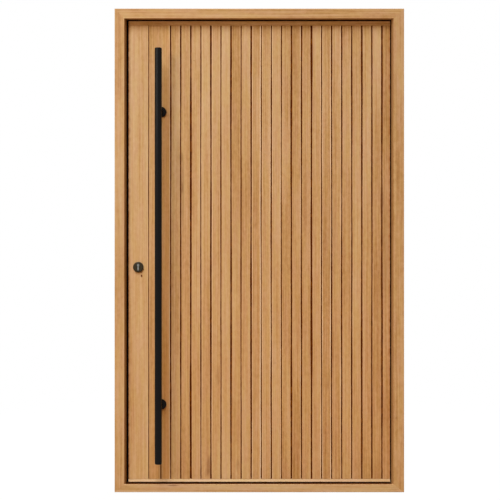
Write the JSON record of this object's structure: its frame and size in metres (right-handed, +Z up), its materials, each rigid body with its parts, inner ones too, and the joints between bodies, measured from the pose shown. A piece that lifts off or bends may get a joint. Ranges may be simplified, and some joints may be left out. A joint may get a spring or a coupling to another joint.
{
  "type": "clad pivot door",
  "caption": "Entrance door clad in vertical timber boards, with a long pull bar on each face, a round lock rose and a mitred timber frame that it turns in on pivots.",
  "frame": {"origin": "middle of the sill's flat underside, half way through the frame's depth", "axes": "+Z up; +X to the right for someone outside who faces the door; +Y inwards, so the outer face looks along -Y"},
  "size_m": [1.32, 0.232, 2.205],
  "materials": {
    "frame_timber": "oiled softwood with a fine grain",
    "board_timber": "oiled softwood boards, satin",
    "edge_timber": "oiled softwood lippings and rails",
    "core": "insulated panel, hidden",
    "black_lining": "matt black strip with brushes",
    "black_metal": "matt black powder coat",
    "bronze_rose": "dark bronze, satin",
    "nickel": "satin nickel",
    "pivot_steel": "zinc-plated steel"
  },
  "bodies": {
    "frame": {"head": "frame_timber", "sill": "frame_timber", "lock_jamb": "frame_timber", "hinge_jamb": "frame_timber", "lock_lining": "black_lining", "hinge_lining": "black_lining", "head_lining": "black_lining", "threshold": "black_metal", "strike_plate": "nickel", "top_pivot": "pivot_steel", "bottom_pivot": "pivot_steel"},
    "leaf": {"core_panel": "core", "top_rail": "edge_timber", "bottom_rail": "edge_timber", "lock_lipping": "edge_timber", "hinge_lipping": "edge_timber", "outer_lock_board": "board_timber", "outer_boards": "board_timber", "outer_bar_board": "board_timber", "inner_lock_board": "board_timber", "inner_boards": "board_timber", "inner_bar_board": "board_timber", "outer_bar": "black_metal", "outer_posts": "black_metal", "inner_bar": "black_metal", "inner_posts": "black_metal", "outer_lock_rose": "bronze_rose", "inner_lock_rose": "bronze_rose", "lock_cylinder": "nickel", "thumbturn": "bronze_rose", "lock_faceplate": "nickel", "lock_bolts": "nickel", "top_bush": "pivot_steel", "bottom_shoe": "pivot_steel"}
  },
  "joints": [
    {"name": "leaf_swing", "type": "hinge", "parent": "frame", "child": "leaf", "pos_m": [0.45, -0.002, 0], "axis": [0, 0, -1], "range_deg": [0, 90]}
  ]
}
